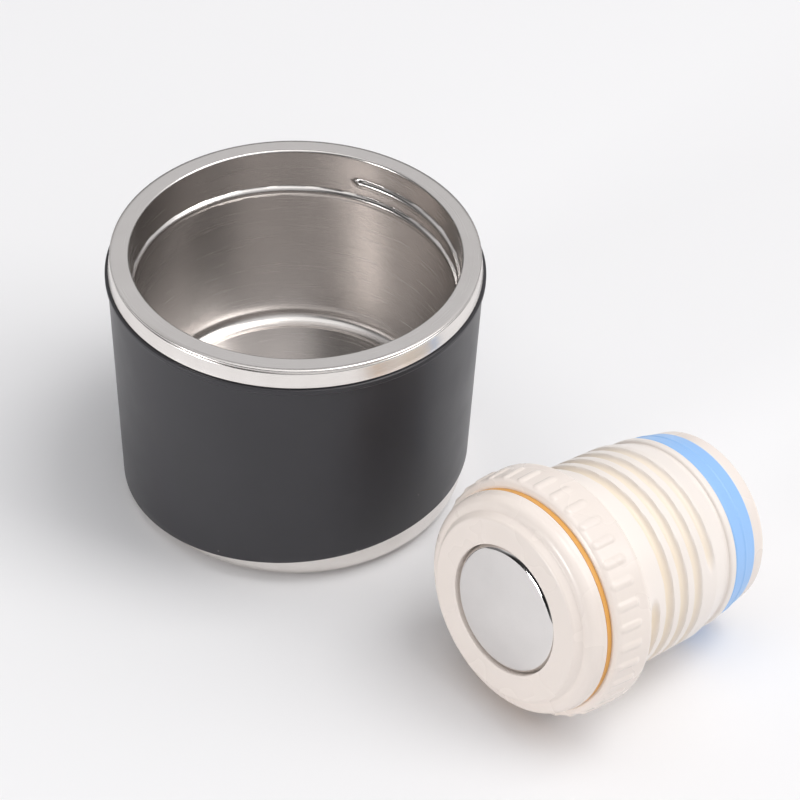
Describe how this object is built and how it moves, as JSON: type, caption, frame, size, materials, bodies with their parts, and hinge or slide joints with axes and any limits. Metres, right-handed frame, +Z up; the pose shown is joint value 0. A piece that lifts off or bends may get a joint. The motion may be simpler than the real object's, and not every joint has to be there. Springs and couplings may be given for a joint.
{
  "type": "flask cup with pouring stopper",
  "caption": "Steel drinking cup with a black sleeve, a brushed rim and an inner screw bead, and a push-button pouring stopper with a grip ring, screw neck and soft seals lying beside it.",
  "frame": {"origin": "middle of the cup's base, on the table", "axes": "+Z up along the cup's axis, out of its mouth; the stopper lies towards +X and -Y"},
  "size_m": [0.145, 0.137, 0.0648],
  "materials": {
    "steel": "satin pressed steel, brushed on the rim",
    "sleeve_black": "satin black",
    "ivory": "smooth ivory moulding",
    "amber": "smooth amber silicone",
    "blue": "smooth light blue silicone",
    "chrome": "bright chromed",
    "spring_steel": "bare spring wire",
    "soft_white": "milky silicone",
    "grey_plastic": "plain moulding"
  },
  "bodies": {
    "cup": {"cup_liner": "steel", "cup_wall": "steel", "cup_base": "steel", "cup_sleeve": "sleeve_black"},
    "stopper": {"stopper_body": "ivory", "head_cap": "ivory", "gap_seal": "amber", "latch_sleeve": "grey_plastic", "tail_cap": "ivory", "neck_seal": "blue", "button_spring": "spring_steel", "valve_spring": "spring_steel"},
    "button": {"push_button": "chrome", "button_core": "grey_plastic", "button_seal": "soft_white"},
    "valve": {"valve_stem": "grey_plastic", "spring_seat": "spring_steel", "valve_plug": "ivory", "valve_seal": "soft_white"},
    "latch": {"latch_rotor": "grey_plastic"}
  },
  "joints": [
    {"name": "stopper_lift", "type": "slide", "parent": "cup", "child": "stopper", "axis": [0, 0, 1], "range_m": [0, 0.12]},
    {"name": "button_press", "type": "slide", "parent": "stopper", "child": "button", "axis": [0.7571, 0.6353, -0.1521], "range_m": [0, 0.005], "stiffness_N_per_m": 400, "springref_m": -0.004, "deforming": ["button_spring"]},
    {"name": "valve_slide", "type": "slide", "parent": "stopper", "child": "valve", "axis": [0.7571, 0.6353, -0.1521], "range_m": [0, 0.005], "stiffness_N_per_m": 300, "springref_m": -0.004, "deforming": ["valve_spring"]},
    {"name": "latch_turn", "type": "hinge", "parent": "valve", "child": "latch", "pos_m": [0.05691, -0.06657, 0.02688], "axis": [0.7571, 0.6353, -0.1521], "range_deg": [0, 45]}
  ],
  "couplings": [
    {"joint": "valve_slide", "follows": "button_press", "ratio": 1},
    {"joint": "latch_turn", "follows": "button_press", "rad_per_m": 157.07}
  ]
}
